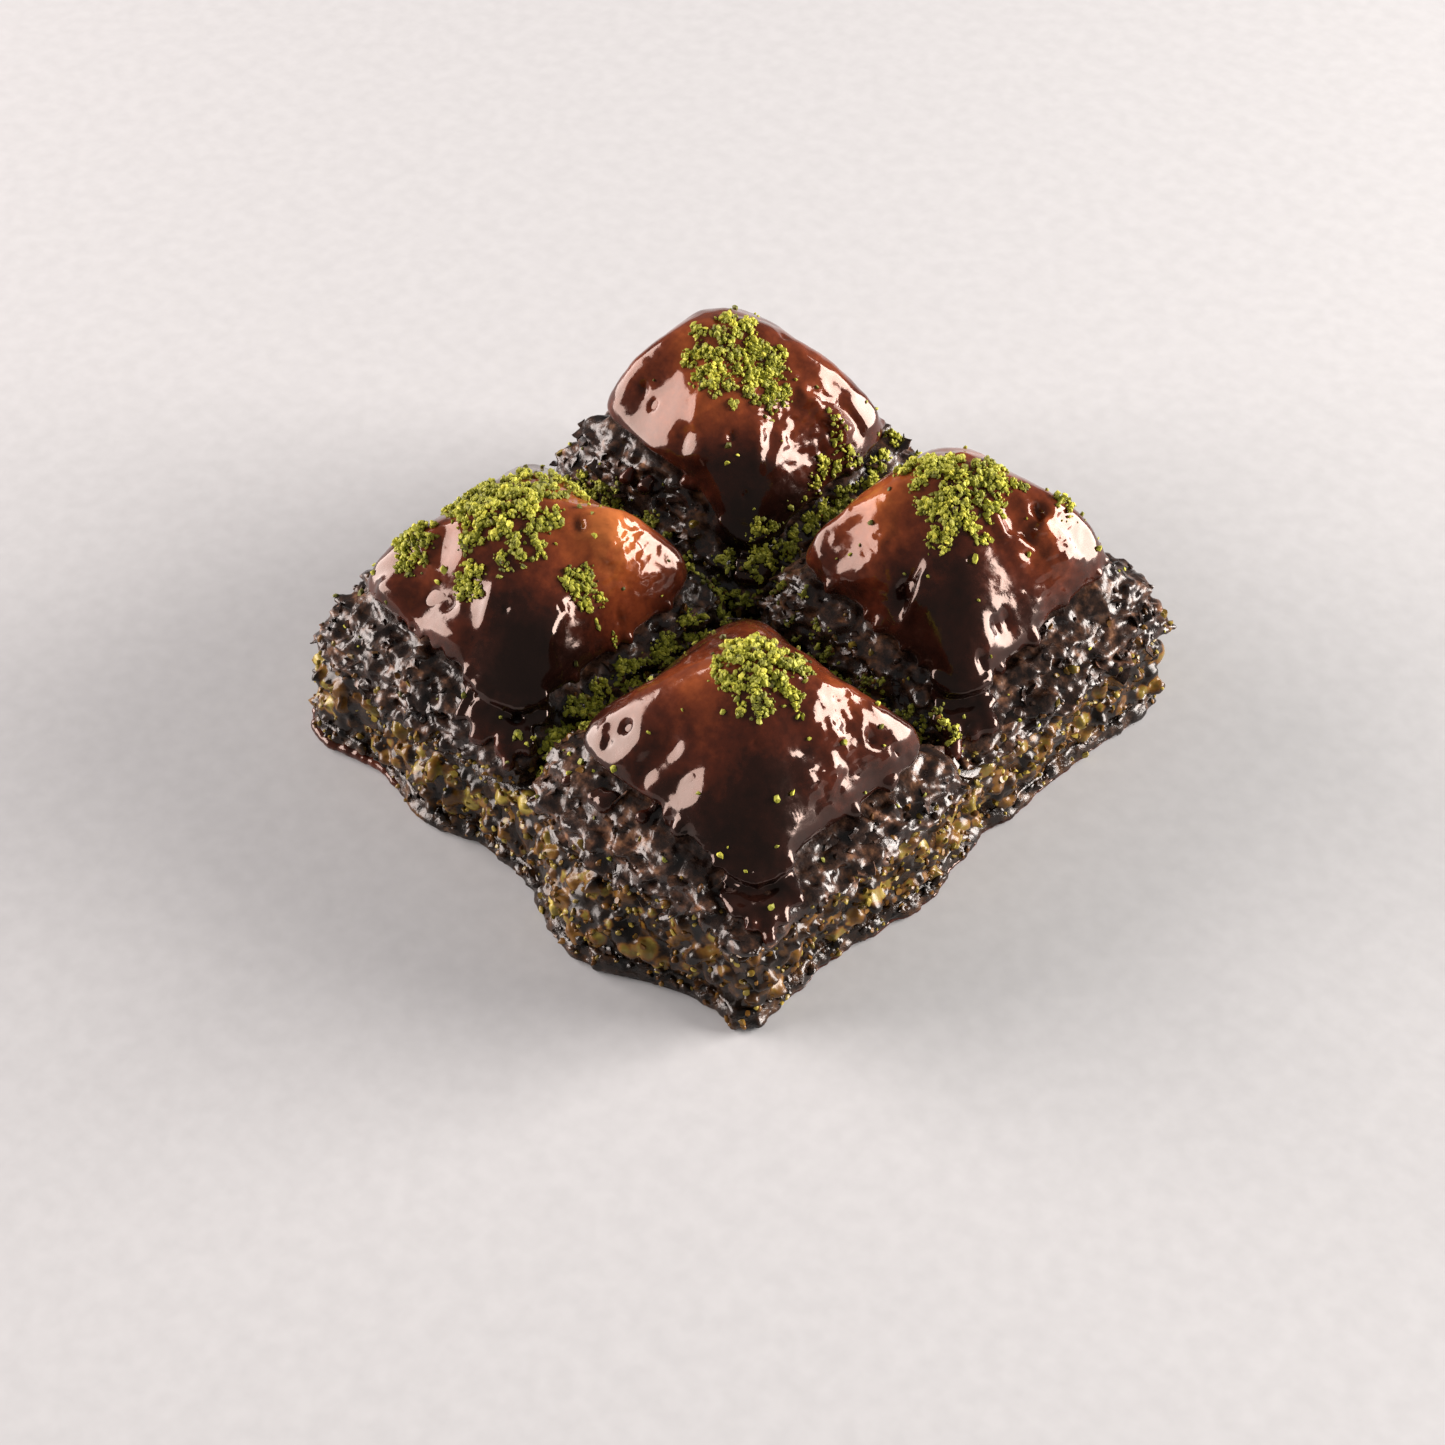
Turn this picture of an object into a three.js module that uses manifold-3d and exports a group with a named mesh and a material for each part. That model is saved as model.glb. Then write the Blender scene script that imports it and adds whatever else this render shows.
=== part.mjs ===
// A block of chocolate baklava: one bottom pastry and one pistachio filling carry four squares,
// each a stack of dark flaky sheets under a glazed, domed top crust with ground pistachio on it.
// Millimetres, +Z up, +Y north. The origin is the middle of the block's footprint, on the ground.
import * as THREE from "three";
import Module from "manifold-3d";
import { mergeVertices } from "three/addons/utils/BufferGeometryUtils.js";

const wasm = await Module();
wasm.setup();

// ---- Driving dimensions -------------------------------------------------------------------

const BLOCK_SIDE = 84; // foot of the block, corner to corner along one side
const BOTTOM_THICK = 2.8; // bottom pastry with its rim of syrup
const FILLING_THICK = 10; // chopped pistachio bound with syrup
const CRUST_THICK = 1.6; // glazed top crust
const CLEARANCE = 0.3; // between layers that lie on each other
const CUT_WIDTH = 3.4; // cut between the squares, at the filling
const SIDE_LEAN = 0.04; // how far the cut sides come in for each millimetre of height
const STACK_SHIFT = new THREE.Vector2(1.3, 1.3); // how far the crusts have slid towards the north-east

const HALF = BLOCK_SIDE / 2;
const PITCH = BLOCK_SIDE / 2; // from the middle of one square to the middle of the next
const BOTTOM_TOP = BOTTOM_THICK;
const FILLING_BASE = BOTTOM_TOP + CLEARANCE;
const FILLING_TOP = FILLING_BASE + FILLING_THICK;
const SHEETS_BASE = FILLING_TOP + CLEARANCE;
const TOP_OF_LEAN = 30; // height at which the crusts have slid all the way

// Each square: where it lies in the block, how far its crust is off that place, the half width
// of the crust, the height of its dome, how far the dome leans from the middle of the crust, how
// full its four faces and the ridges to its corners are (0 is a cone and 1 a boxy dome), the
// heights of its corners, and how far the edge rises (+) or sags (-) between them on each side.
const SQUARES = [
  {
    name: "se",
    at: [1, -1],
    off: [0.4, -1.4],
    half: 16.3,
    peak: 38,
    lean: [0.6, 0.2],
    faces: { south: 0.15, east: 0.15, north: 0.4, west: 0.4 },
    ridges: { sw: 0.5, se: 0.15, ne: 0.6, nw: 0.3 },
    corners: { sw: 26, se: 20.2, ne: 21.8, nw: 26 },
    arch: { south: 0.6, east: -0.4, north: -0.8, west: -0.8 },
  },
  {
    name: "sw",
    at: [-1, -1],
    off: [-0.4, -0.4],
    half: 16.5,
    peak: 37.2,
    lean: [-0.8, -0.8],
    faces: { south: 0.25, east: 0.6, north: 1, west: 0.6 },
    ridges: { sw: 1, se: 0.3, ne: 1.6, nw: 0.3 },
    corners: { sw: 25.8, se: 21.2, ne: 25.2, nw: 27.5 },
    arch: { south: 1.6, east: -0.6, north: -0.8, west: 0 },
  },
  {
    name: "ne",
    at: [1, 1],
    off: [-1.4, -1.6],
    half: 15.3,
    peak: 40.5,
    lean: [-0.6, 0],
    faces: { south: 0.2, east: 0.2, north: 0.8, west: 1 },
    ridges: { sw: 1, se: 0.2, ne: 1.1, nw: 0.6 },
    corners: { sw: 28.4, se: 19.6, ne: 27.5, nw: 28 },
    arch: { south: 1, east: -0.4, north: -0.8, west: -0.8 },
  },
  {
    name: "nw",
    at: [-1, 1],
    off: [0, 0],
    half: 15,
    peak: 42.8,
    lean: [-4.4, -0.4],
    faces: { south: 0.2, east: 0.2, north: 0.8, west: 1.1 },
    ridges: { sw: 1.2, se: 0.2, ne: 0.8, nw: 0.6 },
    corners: { sw: 31.6, se: 20.6, ne: 25.5, nw: 29.2 },
    arch: { south: 2.8, east: 0.4, north: -0.8, west: -0.4 },
  },
];

// Swellings (+) and dents (-) of the foot on each side: place along the side, how far out, width.
const SWELLINGS = {
  south: [[40, 1.2, 3], [16, 6.8, 12], [-4, 0.8, 3], [-17, 3.5, 8], [-37, 2.8, 7]],
  east: [[-40, 0.8, 3], [-28, -0.6, 5], [-11, 2, 6], [4, -1.4, 3], [20, -0.6, 6], [36, 0.8, 5]],
  north: [[28, 1.6, 6], [1, -1.5, 3], [-14, 2, 7], [-34, 1, 5]],
  west: [[30, 1.4, 6], [12, 1.8, 5], [-1, -1.4, 3], [-18, 1.2, 6], [-38, 2.6, 6]],
};
const SWELLING_FADES = 24; // height at which the swellings have died away
const SWELLING_REACH = [0.62, 0.97]; // share of the half side over which they set in

const AROUND_SQUARE = 36; // points round a crust or a stack of sheets
const AROUND_BLOCK = 84; // points round the bottom pastry or the filling

// ---- Helpers ------------------------------------------------------------------------------

// Seeded random numbers from 0 to 1.
function dice(seed) {
  let state = seed;
  return () => {
    state = (state + 0x6d2b79f5) | 0;
    let t = Math.imul(state ^ (state >>> 15), 1 | state);
    t = (t + Math.imul(t ^ (t >>> 7), 61 | t)) ^ t;
    return ((t ^ (t >>> 14)) >>> 0) / 4294967296;
  };
}

const mix = (a, b, t) => a + (b - a) * t;
const between = (random, low, high) => mix(low, high, random());

// The sum of one side's swellings at a place along that side.
const swelling = (side, along) =>
  SWELLINGS[side].reduce((sum, [at, out, wide]) => sum + out * Math.exp(-(((along - at) / wide) ** 2)), 0);

// The block as it has settled: its foot swells and dents, and its upper part has slid over.
function settle(p) {
  const held = 1 - THREE.MathUtils.smoothstep(p.z, 0, SWELLING_FADES);
  const share = (out) => held * THREE.MathUtils.smoothstep(out / HALF, ...SWELLING_REACH);
  const slid = THREE.MathUtils.smoothstep(p.z, 0, TOP_OF_LEAN);
  const { x, y } = p;
  p.x += swelling("east", y) * share(x) - swelling("west", y) * share(-x) + STACK_SHIFT.x * slid;
  p.y += swelling("north", x) * share(y) - swelling("south", x) * share(-y) + STACK_SHIFT.y * slid;
  return p;
}

// A point on a rounded square of half width 1; the higher the power, the sharper its corners.
function onSquare(angle, power) {
  const c = Math.cos(angle);
  const s = Math.sin(angle);
  const r = (Math.abs(c) ** power + Math.abs(s) ** power) ** (-1 / power);
  return new THREE.Vector2(c * r, s * r);
}

// Angles round a square that put the points evenly along its sides, from the middle of one side.
function anglesAround(count) {
  return Array.from({ length: count }, (_, i) => {
    const turn = (i / count) * 4;
    const side = Math.round(turn);
    return (side * Math.PI) / 2 + Math.atan(2 * (turn - side));
  });
}

// A closed solid through rings of equally many points, its two ends closed by a fan.
function loft(rings) {
  const count = rings[0].length;
  const middle = (ring) => ring.reduce((sum, p) => sum.add(p), new THREE.Vector3()).divideScalar(count);
  const points = [...rings.flat(), middle(rings[0]), middle(rings.at(-1))];
  const last = (rings.length - 1) * count;
  const faces = [];
  for (let i = 0; i < count; i++) {
    const j = (i + 1) % count;
    for (let row = 0; row < last; row += count)
      faces.push(row + i, row + j, row + count + j, row + i, row + count + j, row + count + i);
    faces.push(last + count, j, i, last + count + 1, last + i, last + j);
  }
  const geometry = new THREE.BufferGeometry().setFromPoints(points);
  geometry.setIndex(faces);
  return geometry;
}

function solidOf(geometry) {
  const bare = geometry.clone();
  bare.deleteAttribute("normal");
  bare.deleteAttribute("uv");
  const merged = mergeVertices(bare, 1e-4);
  return new wasm.Manifold(
    new wasm.Mesh({
      numProp: 3,
      vertProperties: merged.attributes.position.array,
      triVerts: new Uint32Array(merged.index.array),
    }),
  );
}

function geometryOf(solid) {
  const mesh = solid.getMesh();
  const geometry = new THREE.BufferGeometry();
  geometry.setAttribute("position", new THREE.BufferAttribute(mesh.vertProperties, 3));
  geometry.setIndex(new THREE.BufferAttribute(mesh.triVerts, 1));
  return geometry;
}

// A chip of nut: a crumpled, stretched icosahedron.
function chip(random, centre, size) {
  const geometry = new THREE.IcosahedronGeometry(size, 0);
  geometry.scale(between(random, 0.85, 1.3), between(random, 0.8, 1.2), between(random, 0.7, 1));
  geometry.rotateX(between(random, 0, Math.PI));
  geometry.rotateZ(between(random, 0, Math.PI));
  geometry.translate(centre.x, centre.y, centre.z);
  return solidOf(geometry);
}

// ---- The crust's surface ------------------------------------------------------------------

const CORNER_POWER = 7; // of the crust's edge; its peak is round
const EAR = 0.07; // how far the corners of the crust stand out, as a share of its half width
const EAR_WIDTH = 0.3; // in radians
const EDGE_WAVE = 0.35; // of the crust's edge between the corners
const SLOPE = 1.3; // of the crust's leanest faces: 1 is a cone, and more a rounder dome

// A value at a place on a square, from the values at its four corners.
function fromCorners(corners, p) {
  const south = mix(corners.sw, corners.se, (p.x + 1) / 2);
  const north = mix(corners.nw, corners.ne, (p.x + 1) / 2);
  return mix(south, north, (p.y + 1) / 2);
}

// A value at a place on a square, from the values at its four sides.
function fromSides(sides, p) {
  const upright = p.x > 0 ? sides.east : sides.west;
  const level = p.y > 0 ? sides.north : sides.south;
  return mix(level, upright, p.x ** 2 / (p.x ** 2 + p.y ** 2));
}

// A ring on the crust's dome: share 0 is the peak and 1 the edge. Depth is how far under the
// glazed surface it lies, so the underside and the sheets below use the same rings.
function domeRing(square, share, depth) {
  const power = mix(2, CORNER_POWER, share ** 2.5);
  return anglesAround(AROUND_SQUARE).map((angle) => {
    const p = onSquare(angle, power);
    const fromCorner = Math.abs(((angle + 2 * Math.PI) % (Math.PI / 2)) - Math.PI / 4);
    const corner = Math.exp(-((fromCorner / EAR_WIDTH) ** 2));
    const wave = EDGE_WAVE * Math.sin(9 * angle + square.peak);
    const reach = (square.half * (1 + EAR * corner) + wave) * share - depth * share ** 2;
    const edge = fromCorners(square.corners, p) + fromSides(square.arch, p) * (1 - corner);
    const fullness = mix(fromSides(square.faces, p), fromCorners(square.ridges, p), corner);
    const drop = mix(share ** SLOPE, share ** 3.5, fullness);
    return new THREE.Vector3(
      square.x + square.lean[0] * (1 - share) + p.x * reach,
      square.y + square.lean[1] * (1 - share) + p.y * reach,
      square.peak - (square.peak - edge) * drop - depth,
    );
  });
}

// ---- Sub-parts ----------------------------------------------------------------------------

// The glazed crust: a thin domed shell with a thick edge, and the ground pistachio heaped on it.
const DOME_SHARES = [0.15, 0.35, 0.55, 0.73, 0.88, 1];
const UNDER_SHARES = [1, 0.73, 0.35];
const HEAP_CHIPS = 12;
const HEAP_REACH = 0.44; // share of the way from the peak to the edge
const STRAY_CHIPS = 2;

function crustGeometry(square, seed) {
  const outer = DOME_SHARES.map((share) => domeRing(square, share, 0));
  const lip = domeRing(square, 1, 0).map((p) => p.setZ(p.z - CRUST_THICK * 0.8));
  const under = UNDER_SHARES.map((share) => domeRing(square, share, CRUST_THICK));
  const shell = solidOf(loft([...under.reverse(), lip, ...outer.reverse()]));
  const random = dice(seed);
  const chips = Array.from({ length: HEAP_CHIPS + STRAY_CHIPS }, (_, i) => {
    const inHeap = i < HEAP_CHIPS;
    const share = inHeap ? HEAP_REACH * Math.sqrt((i + 0.5) / HEAP_CHIPS) : between(random, 0.55, 0.8);
    const ring = domeRing(square, share, 0);
    const place = ring[Math.floor((i * 0.618 + between(random, 0, 0.1)) * ring.length) % ring.length];
    return chip(random, place, inHeap ? mix(1.9, 1.1, i / HEAP_CHIPS) : 0.9);
  });
  return geometryOf(chips.reduce((sum, c) => sum.add(c), shell));
}

// The flaky sheets under one crust: steep crumpled sides, spread to the cut at their foot.
const SIDE_LEVELS = 7;
const FLAKE_RELIEF = 0.7;
const BELLY = 2; // how far the sides swell out between their foot and the crust
const SHEETS_TOP_SHARES = [1, 0.73, 0.35];
const EAVES = 2.1; // from the crust's edge down to the first sheet that shows

function sheetsGeometry(square, seed) {
  const random = dice(seed);
  const inner = CUT_WIDTH / 2;
  const outer = HALF - SIDE_LEAN * SHEETS_BASE;
  const footHalf = (outer - inner) / 2;
  const footAt = square.at.map((sign) => (sign * (outer + inner)) / 2);
  const foot = anglesAround(AROUND_SQUARE).map((angle) => {
    const p = onSquare(angle, 2 * CORNER_POWER).multiplyScalar(footHalf);
    return new THREE.Vector3(footAt[0] + p.x, footAt[1] + p.y, SHEETS_BASE);
  });
  const eaves = domeRing(square, 1, 0).map((p) => p.setZ(p.z - EAVES));
  const sides = Array.from({ length: SIDE_LEVELS }, (_, level) => {
    const up = level / (SIDE_LEVELS - 1);
    return foot.map((p, i) => {
      const q = p.clone().lerp(eaves[i], up);
      const out = new THREE.Vector2(q.x - square.x, q.y - square.y).normalize();
      const bellied = BELLY * Math.sin(Math.PI * up ** 0.8);
      const sheet = level % 2 ? FLAKE_RELIEF : -FLAKE_RELIEF;
      const relief = level === 0 ? 0 : bellied + sheet * between(random, 0.2, 1.5);
      return q.set(q.x + out.x * relief, q.y + out.y * relief, q.z);
    });
  });
  const top = SHEETS_TOP_SHARES.map((share) => domeRing(square, share, CRUST_THICK + CLEARANCE));
  return loft([...sides, ...top]);
}

// A ring round the whole block at one height.
function blockRing(z, inset, power) {
  return anglesAround(AROUND_BLOCK).map((angle) => {
    const p = onSquare(angle, power).multiplyScalar(HALF - inset - SIDE_LEAN * z);
    return new THREE.Vector3(p.x, p.y, z);
  });
}

// The bottom pastry: a slab with a rounded rim of syrup at its foot.
const BLOCK_CORNER_POWER = 34;

function bottomGeometry() {
  const levels = [
    [0, 0.7],
    [0.6, 0],
    [1.5, 0.3],
    [BOTTOM_TOP, 1],
  ];
  return loft(levels.map(([z, inset]) => blockRing(z, inset, BLOCK_CORNER_POWER)));
}

// The filling: a slab packed with chips of pistachio, which show round its sides and in the cuts.
const FILLING_INSET = 0.9;
const FILLING_RELIEF = 0.5;
const SIDE_CHIPS = 56;
const CUT_CHIPS = 20;
const LARGE_CHIP = 2.3;
const SMALL_CHIP = 1.3;
const CUT_CHIP = 1.1;

function fillingGeometry(seed) {
  const random = dice(seed);
  const shares = [0, 0.3, 0.7, 1];
  const slab = loft(
    shares.map((up) =>
      blockRing(mix(FILLING_BASE, FILLING_TOP, up), FILLING_INSET, BLOCK_CORNER_POWER).map((p) => {
        const out = between(random, -FILLING_RELIEF, FILLING_RELIEF) * Math.sin(Math.PI * up);
        return p.setX(p.x * (1 + out / HALF)).setY(p.y * (1 + out / HALF));
      }),
    ),
  );
  const chips = [];
  for (let i = 0; i < SIDE_CHIPS; i++) {
    const size = mix(LARGE_CHIP, SMALL_CHIP, i / SIDE_CHIPS);
    const room = 1.3 * size + CLEARANCE;
    const z = between(random, FILLING_BASE + room, FILLING_TOP - room);
    const ring = blockRing(z, FILLING_INSET + 0.25 * size, BLOCK_CORNER_POWER);
    chips.push(chip(random, ring[Math.floor(((i * 0.618) % 1) * ring.length)], size));
  }
  for (let i = 0; i < CUT_CHIPS; i++) {
    const along = mix(-0.9, 0.9, (i + between(random, 0.2, 0.8)) / CUT_CHIPS) * (HALF - 4);
    const place = new THREE.Vector3(i % 2 ? along : 0, i % 2 ? 0 : along, FILLING_TOP);
    chips.push(chip(random, place, CUT_CHIP));
  }
  return geometryOf(chips.reduce((sum, c) => sum.add(c), solidOf(slab)));
}

// ---- The block ----------------------------------------------------------------------------

const SYRUP = new THREE.MeshStandardMaterial({ color: "#2c140b", roughness: 0.25, metalness: 0 });
const NUT = new THREE.MeshStandardMaterial({ color: "#7d6a1f", roughness: 0.45, metalness: 0 });
const FLAKES = new THREE.MeshStandardMaterial({ color: "#211410", roughness: 0.4, metalness: 0 });
const GLAZE = new THREE.MeshStandardMaterial({ color: "#5a2312", roughness: 0.15, metalness: 0 });

const block = new THREE.Group();

function addPart(name, geometry, material) {
  const places = geometry.getAttribute("position");
  const p = new THREE.Vector3();
  for (let i = 0; i < places.count; i++) places.setXYZ(i, ...settle(p.fromBufferAttribute(places, i)));
  geometry.computeVertexNormals();
  const mesh = new THREE.Mesh(geometry, material);
  mesh.name = name;
  block.add(mesh);
}

addPart("bottom_pastry", bottomGeometry(), SYRUP);
addPart("pistachio_filling", fillingGeometry(11), NUT);
SQUARES.forEach((square, i) => {
  square.x = (square.at[0] * PITCH) / 2 + square.off[0];
  square.y = (square.at[1] * PITCH) / 2 + square.off[1];
  addPart(`flaky_sheets_${square.name}`, sheetsGeometry(square, 21 + i), FLAKES);
  addPart(`glazed_crust_${square.name}`, crustGeometry(square, 31 + i), GLAZE);
});

// The origin is the middle of what the block covers, on the ground.
const middle = new THREE.Box3().setFromObject(block).getCenter(new THREE.Vector3());
block.position.set(-middle.x, -middle.y, 0);

export default block;
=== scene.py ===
# The looks of a block of chocolate baklava: glazed crusts on dark flaky sheets, a filling of
# chopped pistachio in syrup, a soaked bottom pastry, and ground pistachio over it all. Lengths
# are in metres, and +Z is up.
import math
import random

import bmesh
import bpy
import numpy as np
from mathutils import Euler, Matrix, Vector
from mathutils.bvhtree import BVHTree
from mathutils.kdtree import KDTree


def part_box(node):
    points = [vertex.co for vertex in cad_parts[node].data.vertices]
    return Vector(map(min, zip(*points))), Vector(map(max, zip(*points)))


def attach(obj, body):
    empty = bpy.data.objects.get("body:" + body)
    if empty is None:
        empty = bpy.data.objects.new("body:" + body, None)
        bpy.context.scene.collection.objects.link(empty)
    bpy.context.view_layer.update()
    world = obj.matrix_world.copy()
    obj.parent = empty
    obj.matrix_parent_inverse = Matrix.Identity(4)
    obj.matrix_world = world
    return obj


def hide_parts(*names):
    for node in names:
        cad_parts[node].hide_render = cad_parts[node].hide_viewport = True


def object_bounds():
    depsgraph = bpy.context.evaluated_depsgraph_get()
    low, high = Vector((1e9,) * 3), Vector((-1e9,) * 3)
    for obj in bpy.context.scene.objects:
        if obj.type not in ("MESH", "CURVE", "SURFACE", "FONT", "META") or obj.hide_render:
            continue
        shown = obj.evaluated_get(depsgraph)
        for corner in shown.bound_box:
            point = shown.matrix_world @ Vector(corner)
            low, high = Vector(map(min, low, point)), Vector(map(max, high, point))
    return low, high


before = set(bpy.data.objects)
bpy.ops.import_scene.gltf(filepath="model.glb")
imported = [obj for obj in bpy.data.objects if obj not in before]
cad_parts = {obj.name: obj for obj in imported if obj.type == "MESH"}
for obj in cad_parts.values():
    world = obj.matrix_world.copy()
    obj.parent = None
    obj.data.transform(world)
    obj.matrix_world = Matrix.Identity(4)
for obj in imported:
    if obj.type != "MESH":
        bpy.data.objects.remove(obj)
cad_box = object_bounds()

MM = 0.001
SQUARES = ("se", "sw", "ne", "nw")
UP = Vector((0, 0, 1))
DOWN = Vector((0, 0, -1))
MIDDLE = Vector((0, 0, 0))  # of the block's footprint
ABOVE = 80 * MM  # higher than anything on the block
BESIDE = 90 * MM  # further out than anything on the block
GOLDEN_SHARE = 0.6180339  # of a turn: places this far apart come out evenly spread all round
GOLDEN_TURN = 2.39996  # in radians, the same for places on a disc


# ---- Workshop -------------------------------------------------------------------------------


def work_on(piece):
    bpy.ops.object.select_all(action="DESELECT")
    piece.select_set(True)
    bpy.context.view_layer.objects.active = piece


def apply_modifier(piece, kind, **settings):
    work_on(piece)
    modifier = piece.modifiers.new(kind.lower(), kind)
    for name, value in settings.items():
        setattr(modifier, name, value)
    bpy.ops.object.modifier_apply(modifier=modifier.name)


def new_object(name, data):
    thing = bpy.data.objects.new(name, data)
    bpy.context.scene.collection.objects.link(thing)
    return thing


def copy_of(node, name):
    """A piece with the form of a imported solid, its loose triangles merged."""
    piece = new_object(name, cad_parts[node].data.copy())
    piece.data.materials.clear()
    work_on(piece)
    bpy.ops.object.mode_set(mode="EDIT")
    bpy.ops.mesh.select_all(action="SELECT")
    bpy.ops.mesh.remove_doubles(threshold=0.001 * MM)
    bpy.ops.object.mode_set(mode="OBJECT")
    return piece


def evened(piece, cell):
    """The piece's surface in even faces of one size, in millimetres."""
    apply_modifier(piece, "REMESH", mode="VOXEL", voxel_size=cell * MM, use_smooth_shade=True)


def roughen(piece, grain, height, pattern="CLOUDS", stretch=(1, 1, 1), mask="", seed=0, **settings):
    """Pushes the surface in and out by a pattern; grain and height are in millimetres."""
    texture = bpy.data.textures.new(f"{piece.name}_grain", pattern)
    texture.noise_scale = grain * MM
    for name, value in settings.items():
        setattr(texture, name, value)
    guide = new_object("grain_guide", None)
    guide.location = (seed * 0.37, seed * 0.61, seed * 0.23)  # another part of the pattern
    guide.scale = stretch
    apply_modifier(
        piece, "DISPLACE", texture=texture, texture_coords="OBJECT", texture_coords_object=guide,
        strength=height * MM, mid_level=0.5, vertex_group=mask,
    )
    bpy.data.objects.remove(guide)
    bpy.data.textures.remove(texture)


def surface(*pieces):
    """What a ray meets: the surfaces of some pieces, one tree for each."""
    graph = bpy.context.evaluated_depsgraph_get()
    return [BVHTree.FromObject(piece, graph) for piece in pieces]


def first_hit(trees, start, way):
    """The nearest place where a ray meets one of the surfaces, and the surface's normal there."""
    hits = [tree.ray_cast(start, way) for tree in trees]
    hits = [hit for hit in hits if hit[0] is not None]
    if not hits:
        return None, None
    nearest = min(hits, key=lambda hit: hit[3])
    return nearest[0], nearest[1]


def covered(place, cover, clear=0.2):
    """Whether a surface lies above a place; the ray starts some millimetres clear of it."""
    return first_hit(cover, place + UP * clear * MM, UP)[0] is not None


def mark_group(piece, name, belongs):
    """A vertex group of the vertices whose place belongs to it."""
    group = piece.vertex_groups.new(name=name)
    for vertex in piece.data.vertices:
        if belongs(vertex.co):
            group.add([vertex.index], 1, "REPLACE")


def set_attribute(piece, name, values):
    layer = piece.data.attributes.new(name, "FLOAT", "POINT")
    layer.data.foreach_set("value", np.asarray(values, np.float32))


def finish_piece(piece, material, slot, *nodes, crease=180):
    """Gives a piece its material and body, and hides the solids that it stands for; slot is not
    used. Edges sharper than crease, in degrees, stay sharp."""
    piece.data.materials.clear()
    piece.data.materials.append(material)
    work_on(piece)
    bpy.ops.object.shade_smooth_by_angle(angle=math.radians(crease))
    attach(piece, "root")
    if nodes:
        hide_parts(*nodes)


# ---- Materials ------------------------------------------------------------------------------


def colour(code):
    """Linear RGBA of an sRGB hex value."""
    parts = [int(code[i : i + 2], 16) / 255 for i in (1, 3, 5)]
    return *(c / 12.92 if c <= 0.04045 else ((c + 0.055) / 1.055) ** 2.4 for c in parts), 1


def new_material(name, **sockets):
    """A material with its shader's constants set on the shader's own sockets."""
    material = bpy.data.materials.new(name)
    material.use_nodes = True
    shader = material.node_tree.nodes["Principled BSDF"]
    for socket, value in sockets.items():
        shader.inputs[socket.replace("_", " ")].default_value = value
    return material, material.node_tree, shader


def add(tree, kind, links=None, **settings):
    """Adds a node with its settings; links gives each input a value or another node's output."""
    node = tree.nodes.new(kind)
    for name, value in settings.items():
        setattr(node, name, value)
    for name, value in (links or {}).items():
        if isinstance(value, bpy.types.NodeSocket):
            tree.links.new(value, node.inputs[name])
        else:
            node.inputs[name].default_value = value
    return node


def noise(tree, place, size, detail, roughness=0.5):
    """A cloudy value around a half, in spots that measure size in millimetres."""
    links = {"Vector": place, "Scale": 1 / (size * MM), "Detail": detail, "Roughness": roughness}
    return add(tree, "ShaderNodeTexNoise", links).outputs["Fac"]


def centred(tree, value):
    """A value around a half, moved to lie around 0."""
    return add(tree, "ShaderNodeMath", {0: value, 1: -0.5}, operation="ADD").outputs[0]


def plus(tree, base, value, share):
    """A base with a share of a value added to it."""
    links = {0: value, 1: share, 2: base}
    return add(tree, "ShaderNodeMath", links, operation="MULTIPLY_ADD").outputs[0]


def colour_by(tree, shader, value, stops):
    """Lets a value choose the colour, along a ramp with stops of (value, colour)."""
    ramp = add(tree, "ShaderNodeValToRGB", {"Fac": value})
    elements = ramp.color_ramp.elements
    for i, (position, code) in enumerate(stops):
        stop = elements[i] if i < 2 else elements.new(position)
        stop.position = position
        stop.color = colour(code)
    tree.links.new(ramp.outputs["Color"], shader.inputs["Base Color"])


def roughness_by(tree, shader, value, low, high, smooth, dull):
    """Lets a value between low and high choose the roughness, from smooth to dull."""
    links = {"Value": value, "From Min": low, "From Max": high, "To Min": smooth, "To Max": dull}
    spread = add(tree, "ShaderNodeMapRange", links)
    tree.links.new(spread.outputs["Result"], shader.inputs["Roughness"])


def bump_by(tree, shader, value, strength, depth):
    """Fine relief that follows a value; depth is in millimetres."""
    links = {"Strength": strength, "Distance": depth * MM, "Height": value}
    bump = add(tree, "ShaderNodeBump", links)
    tree.links.new(bump.outputs["Normal"], shader.inputs["Normal"])


def chocolate_glaze():
    """Syrup and chocolate cooked onto a browned crust: glassy, orange-brown where it is thin on the
    dome and nearly black where it has run down and pooled, with painted light and painted shade in
    marked spots."""
    material, tree, shader = new_material(
        "chocolate_glaze", IOR=1.5, Specular_IOR_Level=0.52, Specular_Tint=colour("#ffe2d6")
    )
    place = add(tree, "ShaderNodeTexCoord").outputs["Object"]
    cloudy = noise(tree, place, 6, detail=4, roughness=0.6)
    speckled = noise(tree, place, 1.1, detail=4, roughness=0.6)
    # The glaze's thinness, with painted light and painted shade in marked spots.
    thin = add(tree, "ShaderNodeAttribute", attribute_name="thinness_and_painted_light").outputs["Fac"]
    patchy = plus(tree, thin, centred(tree, cloudy), 0.7)
    shade = plus(tree, patchy, centred(tree, speckled), 0.3)
    stops = (
        (0.0, "#170c09"), (0.2, "#28130e"), (0.4, "#4a2014"),
        (0.6, "#70341d"), (0.8, "#944b27"), (1.0, "#b96a38"),
    )
    colour_by(tree, shader, shade, stops)
    roughness_by(tree, shader, speckled, 0.35, 0.75, smooth=0.07, dull=0.18)
    bump_by(tree, shader, noise(tree, place, 1.4, detail=3), strength=0.22, depth=0.15)
    return material


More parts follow.
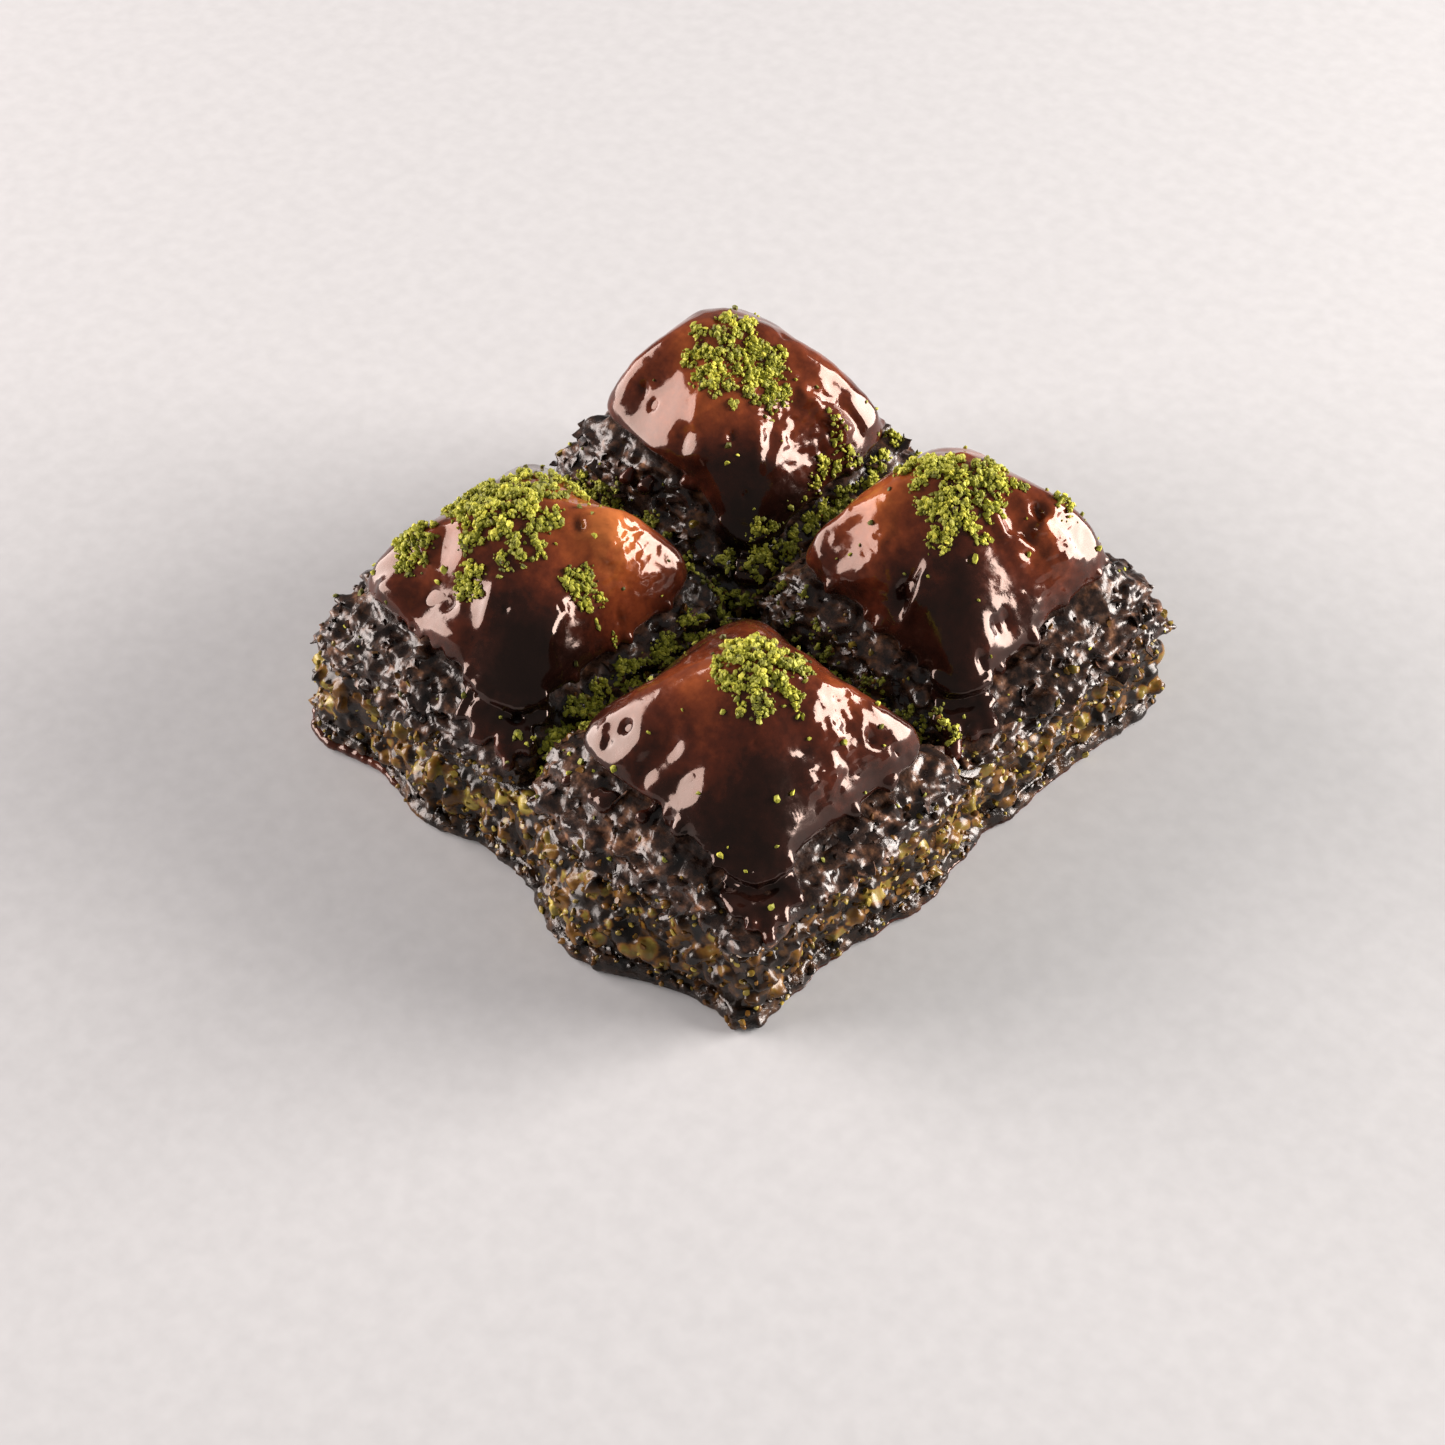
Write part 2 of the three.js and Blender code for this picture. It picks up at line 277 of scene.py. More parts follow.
def soaked_sheets():
    """Thin cocoa pastry sheets soaked in syrup: near-black, reddish-brown where one is thin, wet
    enough that each small crag has its own glint."""
    material, tree, shader = new_material("soaked_cocoa_pastry", IOR=1.5)
    place = add(tree, "ShaderNodeTexCoord").outputs["Object"]
    crumbly = noise(tree, place, 1.6, detail=4, roughness=0.6)
    shade = plus(tree, crumbly, noise(tree, place, 6, detail=2), 0.5)
    stops = (
        (0.45, "#130d0a"), (0.66, "#241814"), (0.78, "#38261d"), (0.88, "#573a2a"),
        (1.0, "#8a6144"),
    )
    colour_by(tree, shader, shade, stops)
    roughness_by(tree, shader, crumbly, 0.3, 0.7, smooth=0.17, dull=0.37)
    bump_by(tree, shader, noise(tree, place, 0.65, detail=2), strength=0.5, depth=0.2)
    return material


def syrup_crumb():
    """The filling's dark bed of syrup and crushed nut, sticky and glossy."""
    material, tree, shader = new_material("syrup_and_crushed_nut", IOR=1.48, Roughness=0.22)
    place = add(tree, "ShaderNodeTexCoord").outputs["Object"]
    patchy = noise(tree, place, 2.2, detail=4, roughness=0.6)
    stops = ((0.4, "#150d08"), (0.52, "#28190f"), (0.62, "#452c18"), (0.75, "#6a4a24"))
    colour_by(tree, shader, patchy, stops)
    crag = noise(tree, place, 0.7, detail=3, roughness=0.6)
    bump_by(tree, shader, crag, strength=0.5, depth=0.25)
    return material


def tinted_nut(name, stops, mottle, grain_size, **sockets):
    """Pistachio, each piece with its own tint, which in places carries painted shade, and a mottled
    cut face.
    """
    material, tree, shader = new_material(name, IOR=1.47, **sockets)
    place = add(tree, "ShaderNodeTexCoord").outputs["Object"]
    tint = add(tree, "ShaderNodeAttribute", attribute_name="tint").outputs["Fac"]
    grain = noise(tree, place, grain_size, detail=3)
    colour_by(tree, shader, plus(tree, tint, centred(tree, grain), mottle), stops)
    bump_by(tree, shader, grain, strength=0.5, depth=0.15)
    return material


def ground_pistachio():
    """Freshly ground pistachio: matt, yellow-green, with painted shade that makes it darker where
    it lies deep, and a few skins.
    """
    stops = (
        (0.0, "#8a5a24"), (0.06, "#6f4a1c"), (0.1, "#4a4b18"),
        (0.4, "#8f9131"), (0.7, "#b0b13c"), (1.0, "#dcd650"),
    )
    return tinted_nut(
        "ground_pistachio",
        stops,
        mottle=0.4,
        grain_size=0.6,
        Roughness=0.65,
        Subsurface_Weight=0.12,
        Subsurface_Radius=(0.8 * MM, 0.8 * MM, 0.3 * MM),
    )


def syrupy_pistachio():
    """Chopped pistachio sunk in syrup: near-black where the syrup is deep, then amber, olive and
    yellow where a piece of nut comes through, all of it wet."""
    stops = (
        (0.0, "#150d08"), (0.2, "#2e1d10"), (0.38, "#5c3c1a"), (0.55, "#785421"),
        (0.7, "#756428"), (0.85, "#938036"), (1.0, "#baa650"),
    )
    return tinted_nut(
        "syrupy_pistachio",
        stops,
        mottle=0.55,
        grain_size=1.2,
        Roughness=0.25,
        Specular_IOR_Level=0.38,
    )


# ---- Small shapes ---------------------------------------------------------------------------


def taken_apart(piece):
    """The vertices and triangles of a finished small shape, which is then removed."""
    apply_modifier(piece, "TRIANGULATE")
    mesh = piece.data
    points = np.array([vertex.co for vertex in mesh.vertices])
    faces = np.array([tuple(face.vertices) for face in mesh.polygons])
    bpy.data.objects.remove(piece)
    bpy.data.meshes.remove(mesh)
    return points, faces


def lumpy(piece, grain, height, seed, pattern="CLOUDS"):
    """Crumples a small shape that is modelled a metre large."""
    roughen(piece, grain / MM, height / MM, pattern, seed=seed)


def granule_shape(seed):
    """A granule of ground nut, one metre in radius until it is scattered."""
    dice = random.Random(seed)
    bpy.ops.mesh.primitive_ico_sphere_add(subdivisions=1, radius=1)
    piece = bpy.context.object
    long, flat = dice.uniform(1, 1.5), dice.uniform(0.55, 0.9)
    for vertex in piece.data.vertices:
        vertex.co *= dice.uniform(0.6, 1.35)
        vertex.co.x *= long
        vertex.co.z *= flat
    return taken_apart(piece)


def chunk_shape(seed, cuts, crumple):
    """A chopped or broken piece with a few cut faces."""
    dice = random.Random(seed)
    bpy.ops.mesh.primitive_ico_sphere_add(subdivisions=2, radius=1)
    piece = bpy.context.object
    bpy.ops.object.mode_set(mode="EDIT")
    bpy.ops.mesh.select_all(action="SELECT")
    stretch = (dice.uniform(1, 1.5), dice.uniform(0.8, 1.1), dice.uniform(0.6, 0.9))
    bpy.ops.transform.resize(value=stretch)
    for _ in range(cuts):
        normal = Vector([dice.gauss(0, 1) for _ in range(3)]).normalized()
        bpy.ops.mesh.select_all(action="SELECT")
        cut = normal * dice.uniform(0.35, 0.65)
        bpy.ops.mesh.bisect(plane_co=cut, plane_no=normal, use_fill=True, clear_outer=True)
    bpy.ops.object.mode_set(mode="OBJECT")
    lumpy(piece, 0.8, crumple, seed)
    apply_modifier(piece, "DECIMATE", ratio=0.5)
    return taken_apart(piece)


def scrap_shape(seed):
    """A torn scrap of thin pastry sheet, curled a little."""
    dice = random.Random(seed)
    bpy.ops.mesh.primitive_grid_add(x_subdivisions=4, y_subdivisions=2, size=2)
    piece = bpy.context.object
    for vertex in piece.data.vertices:
        torn = 0.35 if abs(vertex.co.x) > 0.9 or abs(vertex.co.y) > 0.9 else 0.1
        vertex.co += Vector((dice.uniform(-torn, torn), dice.uniform(-torn, torn), 0))
    lumpy(piece, 1.5, 1.3, seed)
    apply_modifier(piece, "SOLIDIFY", thickness=0.2, offset=0)
    return taken_apart(piece)


def ball_shape():
    """A plain ball, from which runs of glaze and pools of syrup are strung together."""
    bpy.ops.mesh.primitive_ico_sphere_add(subdivisions=2, radius=1)
    return taken_apart(bpy.context.object)


def joined(name, places):
    """One piece made of many copies of small shapes. places holds (shape, matrix, tint)."""
    points, faces, tints = [], [], []
    count = 0
    for (corners, triangles), matrix, tint in places:
        turned = np.array(matrix)
        points.append(corners @ turned[:3, :3].T + turned[:3, 3])
        faces.append(triangles + count)
        tints.append(np.full(len(corners), tint))
        count += len(corners)
    mesh = bpy.data.meshes.new(name)
    mesh.from_pydata(np.concatenate(points), [], np.concatenate(faces))
    piece = new_object(name, mesh)
    set_attribute(piece, "tint", np.concatenate(tints))
    return piece


def laid(dice, place, size, squash=1.0):
    """The matrix of a copy laid at a place and turned at random; size is its radius in mm."""
    turn = Euler([dice.uniform(0, math.tau) for _ in range(3)]).to_matrix().to_4x4()
    flat = Matrix.Diagonal((1, 1, squash, 1))
    return Matrix.Translation(place) @ flat @ turn @ Matrix.Scale(size * MM, 4)


def merge(piece, other, cell):
    """Melts another piece into a piece, the whole in even faces of one size, in millimetres."""
    work_on(piece)
    other.select_set(True)
    bpy.ops.object.join()
    evened(piece, cell)


def strung(name, beads):
    """Strings of overlapping balls. beads holds (centre, radius in millimetres)."""
    places = []
    for centre, radius in beads:
        places.append((BALL, Matrix.Translation(centre) @ Matrix.Scale(radius * MM, 4), 0))
    return joined(name, places)


def out_from(turn):
    """The level direction at an angle from +X towards +Y."""
    return Vector((math.cos(turn), math.sin(turn), 0))


def direction(turn, rise):
    """The way out from the block: turn 0 is -Y and 90 degrees is +X."""
    level = math.cos(rise)
    return Vector((math.sin(turn) * level, -math.cos(turn) * level, math.sin(rise)))


# ---- Glazed crusts --------------------------------------------------------------------------

# Folds (+), dents and pits (-) of each crust: a path of places, how wide, how high. Millimetres.
FOLDS = {
    "se": (
        (((13.6, -31.4),), 0.55, -1.1),  # pit at the western corner
        (((18.6, -33.4), (20.4, -30.4)), 1.3, -0.8),
        (((36.4, -10.2),), 0.6, -1.3),
        (((38.1, -7.8),), 0.5, -0.8),
        (((37.0, -4.2), (36.8, -7.0)), 1.6, 0.7),
        (((36.0, -17.6), (34.8, -21.0)), 1.2, 0.6),
        (((26.0, -26.0), (35.7, -33.0)), 5.0, -0.8),  # level front
    ),
    "sw": (
        (((-31.0, -33.4), (-24.0, -33.4), (-16.3, -32.9)), 1.1, 0.7),  # rolled rim
        (((-30.5, -30.4), (-23.0, -30.6), (-18.0, -29.6)), 1.4, -0.5),
        (((-24.0, -30.8),), 0.6, -0.9),
        (((-9.6, -10.4),), 4.2, 0.8),
        (((-13.2, -13.6),), 0.9, -0.9),
        (((-8.4, -22.0), (-6.8, -26.0)), 1.2, 0.8),
        (((-15.4, -27.0), (-14.2, -30.0)), 1.0, 0.6),
        (((-5.2, -4.1),), 1.8, 0.6),
    ),
    "ne": (
        (((22.6, 10.9),), 1.1, -2.0),  # a burst blister
        (((24.2, 13.6), (24.4, 10.4)), 0.9, 0.6),
        (((28.4, 26.6),), 3.0, -1.0),  # the ring of a sunken blister
        (((26.4, 24.2), (28.4, 23.6), (31.0, 26.4), (31.0, 28.8)), 0.9, 0.9),
        (((29.7, 29.5),), 0.9, -1.4),
        (((33.6, 14.0), (35.0, 10.0)), 2.0, 0.5),
    ),
    "nw": (
        (((-20.0, 18.4), (-17.8, 12.3)), 1.2, 0.4),  # crease where the flat southern face ends
        (((-28.4, 13.4),), 0.5, -0.7),
        (((-26.0, 12.8),), 0.5, -0.6),
        (((-12.4, 19.4), (-10.0, 17.0)), 1.0, 0.5),
        (((-10.0, 21.6), (-8.6, 18.6)), 1.0, 0.5),
        (((-9.4, 29.6),), 1.6, -0.9),
        (((-8.6, 32.6), (-6.4, 33.6)), 0.8, -0.7),
        (((-11.6, 28.0), (-7.4, 31.0)), 0.9, 0.8),
    ),
}

# Flat places where the syrup lies like a mirror: place, how wide, and the way they face.
SOUTH = direction(math.radians(-8), math.radians(42))
SOUTH_WEST = direction(math.radians(-16), math.radians(43))
EAST_NORTH = direction(math.radians(102), math.radians(39))
FACETS = {
    "se": (
        ((14.6, -32.4), 3.5, SOUTH_WEST),
        ((25.4, -32.0), 3.0, SOUTH_WEST),
        ((32.4, -13.4), 4.0, EAST_NORTH),
        ((36.8, -8.0), 3.4, EAST_NORTH),
    ),
    "sw": (
        ((-24.2, -26.4), 3.0, SOUTH_WEST),
        ((-21.4, -32.4), 4.8, SOUTH),
        ((-32.5, -32.4), 2.6, SOUTH_WEST),
        ((-8.4, -8.8), 4.2, EAST_NORTH),
        ((-5.4, -4.2), 1.9, EAST_NORTH),
        ((-7.3, -24.2), 1.8, EAST_NORTH),
    ),
    "ne": (
        ((9.8, 9.7), 2.6, SOUTH_WEST),
        ((14.6, 10.8), 5.0, SOUTH),
        ((23.6, 12.1), 2.4, SOUTH_WEST),
        ((33.4, 31.2), 4.0, EAST_NORTH),
        ((31.0, 25.4), 2.2, EAST_NORTH),
    ),
    "nw": (
        ((-23.4, 12.6), 6.8, SOUTH),
        ((-17.2, 12.0), 2.4, SOUTH_WEST),
        ((-9.4, 31.4), 3.0, EAST_NORTH),
        ((-7.0, 36.0), 2.8, EAST_NORTH),
        ((-11.0, 19.9), 1.7, EAST_NORTH),
    ),
}

# Where the glaze is lighter (+) or darker (-) than elsewhere: partly thinner and thicker glaze,
# partly painted light on faces that the lamps fall on and painted shade on the fronts that face the
# camera. Place, how wide, how much.
THIN_GLAZE_AND_PAINTED_LIGHT = {
    "se": (
        ((18.0, -23.6), 4.2, 0.3),
        ((34.0, -28.5), 7.5, -0.2),
        ((31.0, -10.0), 4.5, 0.2),
        ((15.0, -10.0), 5.0, 0.2),
    ),
    "sw": (
        ((-9.5, -11.0), 7.0, 0.5),
        ((-19.0, -7.0), 6.0, 0.3),
        ((-8.0, -28.0), 6.5, -0.3),
        ((-27.0, -29.0), 5.0, 0.1),
    ),
    "ne": (
        ((13.0, 15.0), 6.0, 0.38),
        ((28.0, 13.0), 7.0, -0.26),
        ((31.0, 28.0), 4.0, 0.2),
        ((16.0, 33.0), 6.0, 0.25),
    ),
    "nw": (
        ((-20.0, 17.5), 6.0, 0.35),
        ((-12.5, 21.0), 4.5, 0.2),
        ((-9.0, 14.0), 6.0, -0.28),
        ((-12.0, 33.0), 5.0, 0.2),
    ),
}

# Where the crust has blistered finely as it baked: place and how wide.
BLISTERED = {
    "se": (((33.0, -12.0), 4.5), ((36.0, -19.0), 2.5)),
    "sw": (((-9.0, -10.5), 4.5),),
    "ne": (((18.0, 12.0), 3.0), ((32.0, 28.5), 4.5)),
    "nw": (((-12.5, 23.5), 4.5), ((-9.0, 30.0), 3.0)),
}

# Where the glaze has levelled out smoothly: ends of the line and how wide.
CALM = {
    "se": (((24.0, -22.0), (35.5, -34.0)), 7.0),
    "sw": (((-15.0, -23.0), (-6.0, -32.5)), 6.0),
    "ne": (((27.0, 15.0), (36.0, 6.5)), 6.0),
    "nw": (((-14.0, 16.5), (-6.0, 8.5)), 5.5),
}

# Runs of glaze down the sides: the middle of their arc and its width in degrees, how many, and
# the shortest and longest of them in millimetres.
RUNS = {
    "se": ((-42, 24, 18, 2.0, 5.0), (-90, 90, 8, 0.6, 1.4), (90, 180, 12, 0.6, 1.4)),
    "sw": ((-52, 34, 22, 2.0, 5.5), (-90, 60, 6, 0.6, 1.4), (90, 240, 12, 0.6, 1.4)),
    "ne": ((-46, 24, 18, 2.0, 6.0), (-90, 60, 5, 0.6, 1.4), (60, 220, 12, 0.6, 1.4)),
    "nw": ((-46, 24, 18, 2.0, 5.0), (-90, 40, 4, 0.6, 1.4), (60, 220, 12, 0.6, 1.4)),
}

BEAD_GAP = 0.45  # millimetres between the beads of a run
SMALL_PITS = 16  # small pits and bumps, at random places on each crust

BALL = ball_shape()


def read_points(piece):
    points = np.empty(3 * len(piece.data.vertices))
    piece.data.vertices.foreach_get("co", points)
    return points.reshape(-1, 3)


def read_normals(piece):
    normals = np.empty(3 * len(piece.data.vertices))
    piece.data.vertex_normals.foreach_get("vector", normals)
    return normals.reshape(-1, 3)


def near(points, path, wide):
    """How close each point lies to a path, seen from above: 1 on it, fading over its width."""
    flat = points[:, :2] / MM
    corners = [np.array(corner) for corner in path]
    distance = np.full(len(flat), np.inf)
    for start, end in zip(corners, corners[1:] or corners):
        along = end - start
        length = max(along @ along, 1e-9)
        share = np.clip((flat - start) @ along / length, 0, 1)[:, None]
        distance = np.minimum(distance, np.linalg.norm(flat - start - share * along, axis=1))
    return np.exp(-((distance / wide) ** 2))


def weigh_points(piece, name, weights):
    """A vertex group with these weights."""
    group = piece.vertex_groups.new(name=name)
    for i in np.flatnonzero(weights > 0.02):
        group.add([int(i)], min(float(weights[i]), 1), "REPLACE")


def shift_points(piece, points):
    piece.data.vertices.foreach_set("co", points.ravel())
    piece.data.update()


def fold(piece, marks):
    """Raises or presses in the upper side of a crust along its marks."""
    for path, wide, height in marks:
        points, normals = read_points(piece), read_normals(piece)
        upper = np.clip(normals[:, 2] * 4, 0, 1)
        push = near(points, path, wide) * upper * height * MM
        shift_points(piece, points + normals * push[:, None])


def flatten(piece, facets):
    """Presses places of a crust flat so that each faces one way."""
    for (x, y), wide, facing in facets:
        points, normals = read_points(piece), read_normals(piece)
        away = np.hypot(points[:, 0] - x * MM, points[:, 1] - y * MM)
        away += np.where(normals[:, 2] > 0.1, 0, 1)  # leaves out the underside
        to_middle = points[away.argmin()] - points
        under = to_middle @ np.array(facing)
        reach = np.sqrt((to_middle**2).sum(axis=1) - under**2) / (wide * MM)
        weight = np.exp(-((under / (3 * MM)) ** 2)) / (1 + reach**6)  # flat, with a soft rim
        shift_points(piece, points + np.outer(under * weight, facing))


def glaze_runs(square, crust, stack, seed):
    """Beads along the runs of glaze that came down from the edge of a crust."""
    dice = random.Random(seed)
    low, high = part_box(f"glazed_crust_{square}")
    middle = (low + high) / 2
    over, under = surface(crust), surface(stack)
    beads = []
    for turn, spread, count, short, long in RUNS[square]:
        for i in range(count):
            share = (i + dice.random()) / count - 0.5
            out = out_from(math.radians(turn + spread * share))
            start = Vector((middle.x, middle.y, 0)) + out * BESIDE
            levels = [high.z - 0.5 * MM * k for k in range(50)]
            crossed = [z for z in levels if first_hit(over, start + UP * z, -out)[0]]
            edge = min(crossed, default=None)
            if edge is None:
                continue
            length = dice.uniform(short, long) * (1 - abs(share) * 0.8)  # longest in the middle
            wide = dice.uniform(0.8, 1.2)
            sway = dice.uniform(-0.25, 0.25)
            steps = max(2, round(length / BEAD_GAP))
            for step in range(steps + 1):
                fallen = length * step / steps
                z = edge + (0.3 - fallen) * MM
                aside = Vector((-out.y, out.x, 0)) * sway * fallen * MM
                hit, _ = first_hit(over + under, start + aside + UP * z, -out)
                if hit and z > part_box(f"flaky_sheets_{square}")[0].z + 0.5 * MM:
                    bulb = 0.8 + 0.35 * (step / steps) ** 3
                    beads.append((hit + out * min(0.2 + fallen * 0.4, 0.7) * MM, wide * bulb))
    return beads


def glazed_crust(square, seed):
    """A peaked crust in its glaze, with its runs, folds, flat places, pits and blisters."""
    node = f"glazed_crust_{square}"
    crust = copy_of(node, f"glaze_{square}")
    evened(crust, 0.7)
    apply_modifier(crust, "SMOOTH", factor=0.8, iterations=26)
    weigh_points(crust, "calm", near(read_points(crust), *CALM[square]))
    apply_modifier(crust, "SMOOTH", factor=0.8, iterations=70, vertex_group="calm")
    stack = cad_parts[f"flaky_sheets_{square}"]
    merge(crust, strung("runs", glaze_runs(square, crust, stack, seed)), 0.42)
    apply_modifier(crust, "SMOOTH", factor=0.6, iterations=5)
    weigh_points(crust, "lively", 1 - near(read_points(crust), *CALM[square]))
    roughen(crust, grain=9, height=1.0, mask="lively", seed=seed)
    flatten(crust, FACETS[square])
    fold(crust, FOLDS[square])
    roughen(crust, grain=3.5, height=0.22, mask="lively", seed=seed + 1)
    dice = random.Random(seed + 2)
    low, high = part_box(node)
    for _ in range(SMALL_PITS):
        place = (dice.uniform(low.x, high.x) / MM, dice.uniform(low.y, high.y) / MM)
        fold(crust, [((place,), dice.uniform(0.4, 0.7), dice.choice((-0.6, -0.4, 0.3)))])
    points = read_points(crust)
    patches = [near(points, (place,), wide) for place, wide in BLISTERED[square]]
    weigh_points(crust, "blistered", sum(patches))
    roughen(crust, grain=1.3, height=0.9, mask="blistered", seed=seed + 3)
    apply_modifier(crust, "SMOOTH", factor=0.5, iterations=1)
    set_attribute(crust, "thinness_and_painted_light", thinness_and_painted_light(crust, square))
    return crust


def thinness_and_painted_light(crust, square):
    """How thin the glaze lies, from 0 to 1: thickest at the edge, thin towards the peak; marked
    spots add painted light and painted shade.
    """
    points = read_points(crust)
    low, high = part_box(f"glazed_crust_{square}")
    rise = (points[:, 2] - low.z) / (high.z - low.z)
    thin = np.interp(rise, (-0.12, 0, 1), (0.27, 0.13, 0.54))
    # Marked spots: painted light (+) and painted shade (-), besides thinner and thicker glaze.
    for place, wide, much in THIN_GLAZE_AND_PAINTED_LIGHT[square]:
        thin += near(points, (place,), wide) * much
    return np.clip(thin, 0, 1)


# ---- Flaky sheets ---------------------------------------------------------------------------

EDGES = 120  # edges of single sheets on each stack
EDGE_STEP = 0.022  # radians round the stack, from one row of an edge to the next


def side_spots(dice, trees, centre, count, low, high):
    """Places on the sides of a piece, all round: each a point and the way out."""
    for i in range(count):
        out = out_from(math.tau * (i * GOLDEN_SHARE + dice.uniform(0, 0.002)))
        start = Vector((centre.x, centre.y, dice.uniform(low, high))) + out * BESIDE
        hit, _ = first_hit(trees, start, -out)
        if hit:
            yield hit, out


def stack_spots(dice, square, stack, cover, count, low, high):
    """Places on a stack's sides between two heights in millimetres, none of them under a crust."""
    foot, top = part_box(f"flaky_sheets_{square}")
    low, high = foot.z + low * MM, foot.z + high * MM
    for hit, out in side_spots(dice, surface(stack), (foot + top) / 2, count, low, high):
        if not covered(hit, cover):
            yield hit, out


def flaky_stack(square, crust, lumps, seed):
    """Sheets that syrup has stuck together into a crumbly, layered mass."""
    stack = copy_of(f"flaky_sheets_{square}", f"flaky_stack_{square}")
    evened(stack, 0.55)
    cover = surface(crust)
    mark_group(stack, "showing", lambda place: not covered(place, cover, clear=0.4))
    roughen(stack, grain=3.2, height=2.6, mask="showing", seed=seed)
    layered = {"stretch": (3, 3, 0.7), "noise_type": "HARD_NOISE"}
    roughen(stack, grain=1.3, height=1.6, mask="showing", seed=seed + 1, **layered)
    dice = random.Random(seed)
    places = []
    for hit, out in stack_spots(dice, square, stack, cover, 420, 0.8, 13):
        size = 0.7 + 1.3 * dice.random() ** 1.5
        sunk = hit - out * 0.1 * size * MM
        places.append((dice.choice(lumps), laid(dice, sunk, size, squash=0.6), 0))
    edges = sheet_edges(square, stack, cover, seed + 3)
    work_on(stack)
    edges.select_set(True)
    bpy.ops.object.join()
    merge(stack, joined("lumps", places), 0.38)
    apply_modifier(stack, "SMOOTH", factor=0.5, iterations=3)
    return stack


def add_strip(points, faces, rows):
    """Adds a closed strip to a mesh's lists; each of its rows has the four corners of a section."""
    start = len(points)
    for row in rows:
        points.extend(row)
    last = len(points) - 4
    for here in range(start, last, 4):
        for side in range(4):
            after = (side + 1) % 4
            faces.append((here + side, here + 4 + side, here + 4 + after, here + after))
    faces.append((start, start + 1, start + 2, start + 3))
    faces.append((last + 3, last + 2, last + 1, last))


def sheet_edges(square, stack, cover, seed):
    """Edges of single sheets, level and wavy, that stand out along a stack's sides."""
    dice = random.Random(seed)
    low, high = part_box(f"flaky_sheets_{square}")
    middle = (low + high) / 2
    body = surface(stack)
    points, faces = [], []
    for strip in range(EDGES):
        turn = math.tau * strip * GOLDEN_SHARE
        level = low.z + dice.uniform(0.8, 12.5) * MM
        steps = dice.randint(10, 30)
        droop = dice.uniform(0, 0.5)
        wave = dice.uniform(0, math.tau)
        thick = dice.uniform(0.5, 0.8) * MM
        depth = dice.uniform(0.9, 2.0) * MM
        rows = []
        for step in range(steps + 1):
            way = out_from(turn + step * EDGE_STEP)
            z = level + 0.5 * MM * math.sin(wave + step * 0.35)
            hit, _ = first_hit(body, Vector((middle.x, middle.y, z)) + way * BESIDE, -way)
            if hit is None or covered(hit, cover):
                break
            ends = min(step, steps - step) / steps
            reach = depth * dice.uniform(0.8, 1.1) * min(1, 0.3 + 3 * ends)
            tip = hit + way * reach - UP * (reach * droop)
            root = hit - way * 0.8 * MM
            rows.append((root, tip, tip + UP * thick, root + UP * thick))
        if len(rows) >= 4:
            add_strip(points, faces, rows)
    mesh = bpy.data.meshes.new("sheet_edges")
    mesh.from_pydata(points, [], faces)
    piece = new_object(f"sheet_edges_{square}", mesh)
    work_on(piece)
    bpy.ops.object.mode_set(mode="EDIT")
    bpy.ops.mesh.select_all(action="SELECT")
    bpy.ops.mesh.normals_make_consistent(inside=False)
    bpy.ops.object.mode_set(mode="OBJECT")
    return piece


def crumbled_pastry(square, stack, crust, lumps, scraps, seed):
    """Crumbs and scraps of broken sheet that cling to a stack's sides."""
    dice = random.Random(seed)
    cover = surface(crust)
    places = []
    for hit, _ in stack_spots(dice, square, stack, cover, 260, 0.5, 13):
        size = 0.25 + 0.4 * dice.random()
        places.append((dice.choice(lumps), laid(dice, hit, size, squash=0.75), dice.random()))
    for hit, out in stack_spots(dice, square, stack, cover, 150, 0.5, 13):
        along = Vector((-out.y, out.x, 0))
        turn = Matrix((along, out, UP)).transposed().to_4x4()
        lean = (dice.gauss(-0.4, 0.45), dice.gauss(0, 0.3), dice.gauss(0, 0.5))
        size = Matrix.Diagonal((dice.uniform(0.7, 1.5) * MM, dice.uniform(0.4, 0.9) * MM, MM, 1))
        place = Matrix.Translation(hit) @ turn @ Euler(lean).to_matrix().to_4x4() @ size
        places.append((dice.choice(scraps), place, dice.random()))
    return joined(f"crumbled_pastry_{square}", places)


def nut_in_stack(square, stack, crust, chips, seed):
    """Pieces of the filling caught between the sheets."""
    dice = random.Random(seed)
    places = []
    for hit, _ in stack_spots(dice, square, stack, surface(crust), 70, 0.5, 11):
        size = dice.uniform(0.3, 0.75)
        places.append((dice.choice(chips), laid(dice, hit, size), dice.uniform(0.2, 0.8)))
    return joined(f"nut_in_stack_{square}", places)


# ---- Filling and bottom ---------------------------------------------------------------------


def even_turn(i, count):
    """The angle of the i-th of count places spread evenly along the sides of a square."""
    turn = 4 * i / count
    side = round(turn)
    return side * math.pi / 2 + math.atan(2 * (turn - side))


